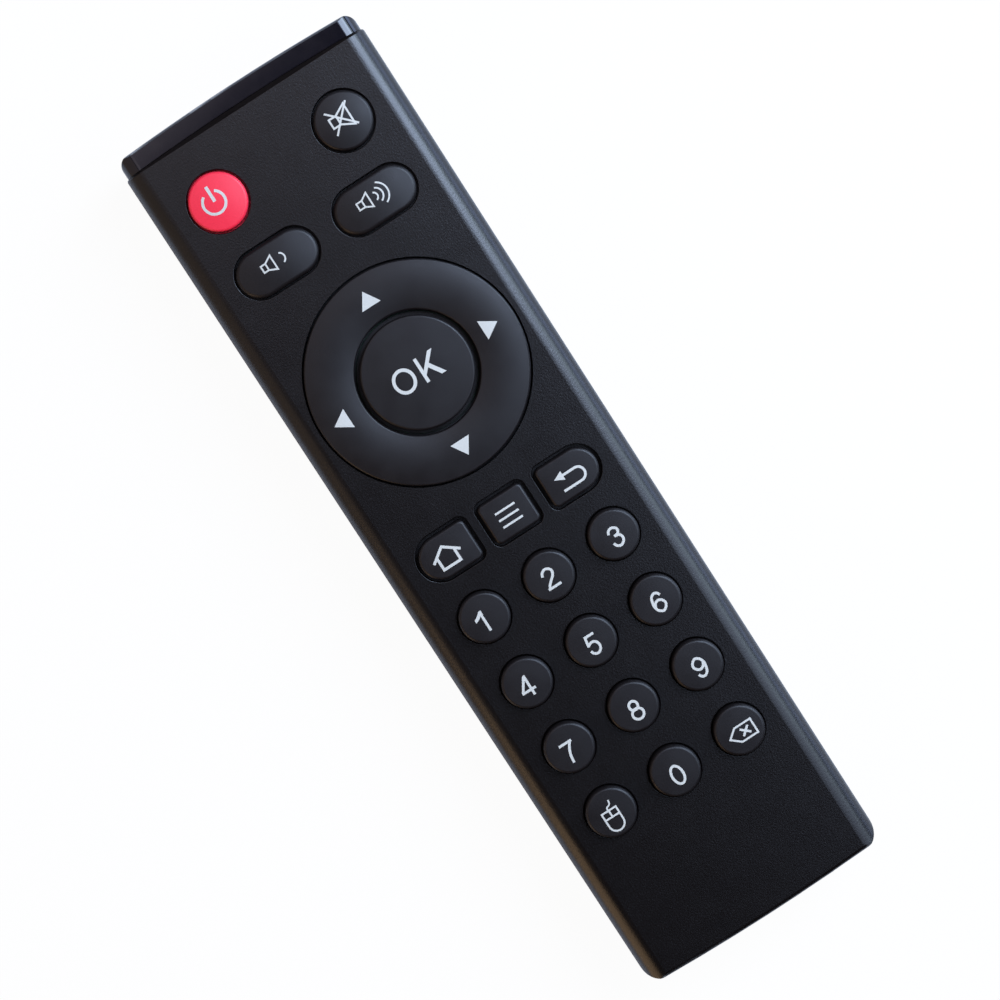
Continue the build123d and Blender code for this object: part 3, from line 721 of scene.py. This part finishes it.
@dataclass
class Signs:
    """The signs of the keys that carry no numeral, with the widths of their lines."""

    bold: float = 0.42
    medium: float = 0.29
    fine: float = 0.25
    power_bar: float = 0.5
    letter: float = 0.52
    menu_bar: float = 0.33
    back_arrow: float = 0.39
    tag: float = 0.3
    cross: float = 0.35

    def power(self) -> list[Stroke | Patch]:
        """Open ring with an upright bar."""
        return [Stroke(arc((-0.46, 0.06), 1.74, 122, 418, 28), self.bold),
                Stroke([(-0.3, 0.12), (-0.3, 2.66)], self.power_bar)]

    def speaker(self, box: tuple[float, float, float, float], mouth: tuple[float, float, float],
                width: float) -> list[Stroke | Patch]:
        """Outline of a loudspeaker.

        Args:
            box: Left, right, low and high line of its box.
            mouth: Right, low and high line of its cone.
            width: Width of the lines.

        Returns:
            Its strokes.
        """
        left, right, low, high = box
        end, mouth_low, mouth_high = mouth
        return [Stroke([(left, low), (right, low), (right, high), (left, high)], width, True),
                Stroke([(right, low), (end, mouth_low), (end, mouth_high), (right, high)],
                       width, True)]

    def mute(self) -> list[Stroke | Patch]:
        """Crossed-out loudspeaker."""
        return self.speaker((-1.78, -0.55, -0.42, 1.06), (1.33, -1.45, 2.05), self.medium) + [
            Stroke([(-1.9, 2.22), (1.85, -1.62)], self.medium),
            Stroke([(-1.9, -1.58), (1.85, 2.28)], self.medium)]

    def quieter(self) -> list[Stroke | Patch]:
        """Loudspeaker with one arc."""
        return self.speaker((-2.3, -1.5, -0.28, 0.8), (-0.28, -0.86, 1.5), self.fine) + [
            Stroke(arc((0.72, 0.3), 0.86, -68, 68), self.fine)]

    def louder(self) -> list[Stroke | Patch]:
        """Loudspeaker with three arcs."""
        arcs = ((0.14, 0.66, 72), (0.46, 1.2, 68), (0.66, 1.88, 66))
        return self.speaker((-2.62, -1.68, -0.28, 0.8), (-0.56, -0.86, 1.5), self.fine) + [
            Stroke(arc((x, 0.31), radius, -turn, turn), self.fine) for x, radius, turn in arcs]

    def ok(self) -> list[Stroke | Patch]:
        """The two letters of the middle key."""
        return [Stroke(oval((-2.27, -0.06), 1.58, 1.11, 30), self.letter, True),
                Stroke([(0.76, -2.1), (0.76, 1.98)], self.letter),
                Patch([(1.0, -1.08), (1.0, -0.28), (3.02, 1.98), (3.82, 1.98)], step=3.0),
                Patch([(1.56, 0.25), (2.02, 0.72), (3.9, -2.1), (3.1, -2.1)], step=3.0)]

    def home(self) -> list[Stroke | Patch]:
        """Small house."""
        return [Stroke([(-2.58, -0.34), (-0.22, 1.42), (2.14, -0.34)], self.bold),
                Stroke([(-1.7, 0.3), (-1.7, -1.8), (1.28, -1.8), (1.28, 0.3)], self.bold)]

    def menu(self) -> list[Stroke | Patch]:
        """Three bars."""
        return [Stroke([(-1.83, y), (1.65, y)], self.menu_bar) for y in (1.04, -0.14, -1.31)]

    def back(self) -> list[Stroke | Patch]:
        """Arrow that turns back."""
        bend = arc((1.1, -0.54), 1.1, 90, -90)
        return [Stroke([(-1.1, 0.56)] + bend + [(-2.04, -1.64)], self.back_arrow),
                Patch([(-2.5, 0.54), (-0.95, -0.22), (-0.95, 1.28)])]

    def pointer(self) -> list[Stroke | Patch]:
        """Pointing device with two buttons and its lead."""
        body = [(1.13, 0.6), (-1.37, 0.6)] + arc((-0.12, -1.62), 1.25, 180, 360)
        lead = smooth([(-0.18, 0.7), (-0.1, 1.1), (0.3, 1.26), (0.55, 1.5), (0.66, 2.05)])
        return [Stroke(body, self.medium, True),
                Stroke([(-1.37, -0.52), (1.13, -0.52)], self.medium),
                Stroke([(-0.12, 0.6), (-0.12, -0.52)], self.medium),
                Stroke(lead, self.fine)]

    def erase(self) -> list[Stroke | Patch]:
        """Tag with a cross."""
        outline = [(-1.83, -0.43), (-0.4, 0.78), (2.42, 0.78), (2.42, -1.65), (-0.4, -1.65)]
        return [Stroke(outline, self.tag, True),
                Stroke([(0.22, 0.18), (1.58, -1.04)], self.cross),
                Stroke([(0.22, -1.04), (1.58, 0.18)], self.cross)]


@dataclass
class Shell:
    """Upper and lower shell and the battery cover, all in one fine-grained plastic."""

    nodes: tuple[str, ...] = ("top_case", "bottom_case", "battery_cover")
    finish: Finish = Finish(Slot.CASE, (0.0030, 0.0017, 0.0016), 0.29, 0.3 * MM, 0.024 * MM,
                            colour_spread=0.2, gloss_spread=0.01)

    def build(self) -> None:
        """Dresses the three shells."""
        material = self.finish.material()
        for name in self.nodes:
            dress(name, material)


@dataclass
class Window:
    """Glossy dark cap through which the diode shines."""

    finish: Finish = Finish(Slot.WINDOW, (0.006, 0.0053, 0.0085), 0.09, 1.2 * MM, 0.0004 * MM,
                            colour_spread=0.08, gloss_spread=0.02)

    def build(self) -> None:
        """Dresses the window."""
        dress("ir_window", self.finish.material())


@dataclass
class Keypad:
    """The twenty keys with their prints."""

    key: Finish = Finish(Slot.KEY, (0.008, 0.006, 0.0062), 0.42, 0.2 * MM, 0.005 * MM,
                         colour_spread=0.12, specular=0.37)
    power: Finish = Finish(Slot.POWER, (1.0, 0.025, 0.058), 0.45, 0.2 * MM, 0.005 * MM,
                           colour_spread=0.05)
    ink: Finish = Finish(Slot.INK, (0.64, 0.63, 0.57), 0.55, 0.15 * MM, 0.003 * MM,
                         colour_spread=0.04)
    numerals: Numerals = field(default_factory=Numerals)
    signs: Signs = field(default_factory=Signs)
    # Where the photograph shows each print, in millimetres from the middle of its key. An arrow's
    # shift is from its place on an even circle.
    shifts: dict[str, Point] = field(default_factory=lambda: {
        "power": (-0.05, 0.12), "mute": (-0.04, 0.07), "volume_down": (-0.06, 0.04),
        "volume_up": (-0.1, 0.11), "ok": (-0.08, 0.01), "home": (-0.07, -0.04),
        "menu": (-0.02, -0.03), "back": (-0.07, -0.04), "mouse": (-0.09, -0.08),
        "delete": (-0.18, -0.07), "1": (-0.67, -0.38), "2": (-0.06, -0.23),
        "3": (0.11, -0.41), "4": (-0.34, -0.37), "5": (-0.03, -0.47), "6": (0.14, -0.44),
        "7": (-0.22, -0.54), "8": (0.02, -0.6), "9": (0.13, -0.38), "0": (0.0, -0.6),
        "right": (-0.33, 0.0), "up": (-0.38, 0.07), "left": (-0.36, -0.12),
        "down": (-0.23, 0.02),
    })
    arrow_tip: float = 14.5
    arrow_base: float = 11.93
    arrow_half: float = 1.62

    def legends(self) -> dict[str, list[Stroke | Patch]]:
        """Signs of all keys by the key's name.

        Returns:
            The strokes and filled shapes of each.
        """
        signs = self.signs
        found = {
            "power": signs.power(), "mute": signs.mute(), "volume_down": signs.quieter(),
            "volume_up": signs.louder(), "ok": signs.ok(), "home": signs.home(),
            "menu": signs.menu(), "back": signs.back(), "mouse": signs.pointer(),
            "delete": signs.erase(),
        }
        found.update({str(digit): self.numerals.shapes(digit) for digit in range(10)})
        return found

    def build(self) -> None:
        """Dresses the keys and prints their signs."""
        dark, red, ink = self.key.material(), self.power.material(), self.ink.material()
        for name, shapes in self.legends().items():
            node = f"key_{name}"
            dress(node, red if name == "power" else dark)
            low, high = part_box(node)
            centre = (low + high) / 2
            centre.z = high.z
            Legend(f"sign_{name}", node, shapes, self.shifts[name]).build(
                centre, surface(node), ink)
        self.arrows(dark, ink)

    def arrows(self, dark: bpy.types.Material, ink: bpy.types.Material) -> None:
        """Dresses the ring and prints its four arrows.

        Args:
            dark: Material of the ring.
            ink: Material of the print.
        """
        node = "dpad_ring"
        dress(node, dark)
        low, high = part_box(node)
        centre = (low + high) / 2
        centre.z = high.z
        tip, base, half = self.arrow_tip, self.arrow_base, self.arrow_half
        for index, word in enumerate(("right", "up", "left", "down")):
            turn = index * math.pi / 2
            corners = [(x * math.cos(turn) - y * math.sin(turn),
                        x * math.sin(turn) + y * math.cos(turn))
                       for x, y in ((tip, 0.0), (base, half), (base, -half))]
            Legend(f"arrow_{word}", node, [Patch(corners)], self.shifts[word]).build(
                centre, surface(node), ink)


def surface(node: str) -> BVHTree:
    """The surface of a CAD node, to lay prints on.

    Args:
        node: The node.

    Returns:
        Its faces in a search tree.
    """
    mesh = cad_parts[node].data
    return BVHTree.FromPolygons([v.co for v in mesh.vertices], [p.vertices for p in mesh.polygons])


@dataclass
class Inside:
    """What the case holds: key sheet, board and its parts, contacts and cells."""

    sheet: Finish = Finish(Slot.SHEET, (0.009, 0.009, 0.0095), 0.7, 0.4 * MM, 0.004 * MM)
    carbon: Finish = Finish(Slot.PILL, (0.012, 0.012, 0.012), 0.8, 0.1 * MM, 0.004 * MM)
    board: Finish = BoardFinish(Slot.BOARD, (0.006, 0.036, 0.014), 0.4, 0.5 * MM, 0.002 * MM)
    chip: Finish = EndedFinish(Slot.CHIP, (0.012, 0.012, 0.013), 0.55, 0.1 * MM, 0.004 * MM)
    ceramic: Finish = Finish(Slot.CERAMIC, (0.45, 0.2, 0.03), 0.3, 0.3 * MM, 0.004 * MM)
    resin: Finish = Finish(Slot.DIODE, (0.035, 0.028, 0.07), 0.06, 0.8 * MM, 0.0005 * MM,
                           coat=0.3)
    can: Finish = Finish(Slot.CAN, (0.62, 0.62, 0.63), 0.28, 0.08 * MM, 0.001 * MM, metallic=1.0)
    steel: Finish = Finish(Slot.CONTACT, (0.68, 0.67, 0.65), 0.24, 0.12 * MM, 0.001 * MM,
                           metallic=1.0)
    cap_share: float = 0.3

    def build(self) -> None:
        """Dresses everything inside."""
        sheet, carbon = self.sheet.material(), self.carbon.material()
        for name in ("keypad_mat", "dpad_web"):
            dress(name, sheet)
        for name in sorted(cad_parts):
            if name.startswith("pill_") or name == "dpad_pills":
                dress(name, carbon)
        steel = self.steel.material()
        for name in ("contact_positive", "contact_negative", "contact_bridge"):
            dress(name, steel)
        for name, finish in (("circuit_board", self.board), ("controller_chip", self.chip),
                             ("resonator", self.ceramic), ("ir_led", self.resin),
                             ("capacitor", self.can), ("resistors", self.resistor_finish())):
            dress(name, finish.material())
        for name, plus_at_head in (("battery_left", True), ("battery_right", False)):
            low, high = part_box(name)
            jacket = JacketFinish(Slot.JACKET, (0.02, 0.022, 0.03), 0.3, 0.3 * MM, 0.002 * MM,
                                  metallic=0.35, low_end=low.y, high_end=high.y,
                                  band_at_head=plus_at_head)
            dress(name, jacket.material())

    def resistor_finish(self) -> Finish:
        """Dark chips with bright end caps.

        Returns:
            The finish, with its caps where the chips lie.
        """
        low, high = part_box("resistors")
        middle = (low.x + high.x) / 2
        return EndedFinish(Slot.CHIP, (0.015, 0.015, 0.016), 0.4, 0.1 * MM, 0.002 * MM,
                           middle=middle, reach=self.cap_share * (high.x - low.x))


@dataclass
class Lamp:
    """A soft oblong lamp that faces the remote from a direction given in degrees."""

    name: str
    azimuth: float
    polar: float
    width: float
    height: float
    watts: float
    colour: Colour
    distance: float = 0.6
    target: tuple[float, float, float] = (0.0, 0.0, 0.018)

    def build(self) -> None:
        """Makes the lamp."""
        light = bpy.data.lights.new(self.name, "AREA")
        light.shape = "RECTANGLE"
        light.size = self.width
        light.size_y = self.height
        light.energy = self.watts
        light.color = self.colour
        thing = bpy.data.objects.new(self.name, light)
        bpy.context.scene.collection.objects.link(thing)
        turn, fall = math.radians(self.azimuth), math.radians(self.polar)
        out = Vector((math.sin(fall) * math.cos(turn), math.sin(fall) * math.sin(turn),
                      math.cos(fall)))
        thing.location = Vector(self.target) + self.distance * out
        thing.rotation_euler = out.to_track_quat("Z", "Y").to_euler()
        thing.visible_camera = False
        LOG.info("lit %s", self.name)


@dataclass
class Studio:
    """Pale floor, plain light and the camera at the photograph's angle."""

    floor_half: float = 3.0
    floor_colour: Colour = (0.9, 0.9, 0.9)
    plain_share: float = 0.96
    sky: Colour = (0.9, 0.95, 1.0)
    sky_strength: float = 0.03
    camera_place: tuple[float, float, float] = (5.36 * MM, 35.41 * MM, 400.01 * MM)
    camera_turn: tuple[float, float, float] = (-4.731, -2.098, -32.792)
    lens: float = 91.8
    sensor: float = 36.0
    nearest: float = 0.01
    lamps: tuple[Lamp, ...] = (
        Lamp("key_light", -4.0, 38.0, 0.54, 0.58, 2.40, (0.62, 0.74, 1.0)),
        Lamp("mid_light", 3.0, 55.0, 0.48, 0.26, 0.90, (0.68, 0.90, 1.0)),
        Lamp("side_light", 4.0, 83.0, 0.55, 0.18, 1.30, (0.50, 0.64, 1.0)),
        Lamp("spot_light", 23.0, 39.0, 0.23, 0.38, 3.10, (0.60, 0.74, 1.0)),
        Lamp("head_light", 101.0, 26.8, 0.38, 0.30, 0.35, (1.0, 0.88, 0.98)),
        Lamp("left_light", 165.0, 60.0, 0.50, 0.80, 0.56, (1.0, 0.78, 0.65)),
        Lamp("warm_light", 204.0, 70.0, 0.20, 0.51, 0.73, (1.0, 0.67, 0.39)),
    )

    def build(self) -> None:
        """Builds floor, world, lamps and camera."""
        self.floor()
        self.world()
        for lamp in self.lamps:
            lamp.build()
        self.camera()
        bpy.context.scene.view_settings.view_transform = "Standard"

    def floor(self) -> None:
        """A wide flat floor that is white to the eye and still takes the shadow."""
        half = self.floor_half
        mesh = bpy.data.meshes.new("floor")
        mesh.from_pydata([(-half, -half, 0), (half, -half, 0), (half, half, 0), (-half, half, 0)],
                         [], [(0, 1, 2, 3)])
        plane = bpy.data.objects.new("floor", mesh)
        bpy.context.scene.collection.objects.link(plane)
        material = bpy.data.materials.new("floor_paper")
        material.use_nodes = True
        tree = material.node_tree
        tree.nodes.clear()
        output = tree.nodes.new("ShaderNodeOutputMaterial")
        paper = tree.nodes.new("ShaderNodeBsdfDiffuse")
        paper.inputs["Color"].default_value = (*self.floor_colour, 1.0)
        glow = tree.nodes.new("ShaderNodeEmission")
        glow.inputs["Strength"].default_value = 1.0
        mix = tree.nodes.new("ShaderNodeMixShader")
        share = tree.nodes.new("ShaderNodeMath")
        share.operation = "MULTIPLY"
        share.inputs[1].default_value = self.plain_share
        tree.links.new(ray_test(tree), share.inputs[0])
        tree.links.new(share.outputs[0], mix.inputs[0])
        tree.links.new(paper.outputs[0], mix.inputs[1])
        tree.links.new(glow.outputs[0], mix.inputs[2])
        tree.links.new(mix.outputs[0], output.inputs[0])
        mesh.materials.append(material)
        LOG.info("laid the floor")

    def world(self) -> None:
        """Weak cool light all round, white where the camera sees it."""
        world = bpy.data.worlds.new("studio")
        bpy.context.scene.world = world
        world.use_nodes = True
        tree = world.node_tree
        back = tree.nodes["Background"]
        back.inputs["Color"].default_value = (*self.sky, 1.0)
        back.inputs["Strength"].default_value = self.sky_strength
        white = tree.nodes.new("ShaderNodeBackground")
        white.inputs["Color"].default_value = (1.0, 1.0, 1.0, 1.0)
        white.inputs["Strength"].default_value = 1.0
        mix = tree.nodes.new("ShaderNodeMixShader")
        path = tree.nodes.new("ShaderNodeLightPath")
        tree.links.new(path.outputs[RayKind.CAMERA.value], mix.inputs[0])
        tree.links.new(back.outputs[0], mix.inputs[1])
        tree.links.new(white.outputs[0], mix.inputs[2])
        tree.links.new(mix.outputs[0], tree.nodes["World Output"].inputs[0])
        LOG.info("made the world")

    def camera(self) -> None:
        """Camera above the remote, at the photograph's place and turn."""
        data = bpy.data.cameras.new("camera")
        data.lens = self.lens
        data.sensor_width = self.sensor
        data.clip_start = self.nearest
        thing = bpy.data.objects.new("camera", data)
        bpy.context.scene.collection.objects.link(thing)
        thing.location = self.camera_place
        thing.rotation_euler = Euler([math.radians(turn) for turn in self.camera_turn], "XYZ")
        bpy.context.scene.camera = thing
        LOG.info("set the camera")


def ray_test(tree: bpy.types.NodeTree) -> bpy.types.NodeSocket:
    """One for each kind of ray that shows the plain pale floor.

    Args:
        tree: Node tree of the floor's material.

    Returns:
        The test, 0 or 1.
    """
    path = tree.nodes.new("ShaderNodeLightPath")
    either = tree.nodes.new("ShaderNodeMath")
    either.operation = "MAXIMUM"
    for index, kind in enumerate(RayKind):
        tree.links.new(path.outputs[kind.value], either.inputs[index])
    return either.outputs[0]


def main() -> None:
    """Builds the remote's looks and the studio, in order."""
    logging.basicConfig(level=logging.INFO, format="%(name)s: %(message)s")
    for part in (Studio(), Shell(), Window(), Keypad(), Inside()):
        part.build()
        LOG.info("built %s", type(part).__name__)


if __name__ == "__main__":
    main()
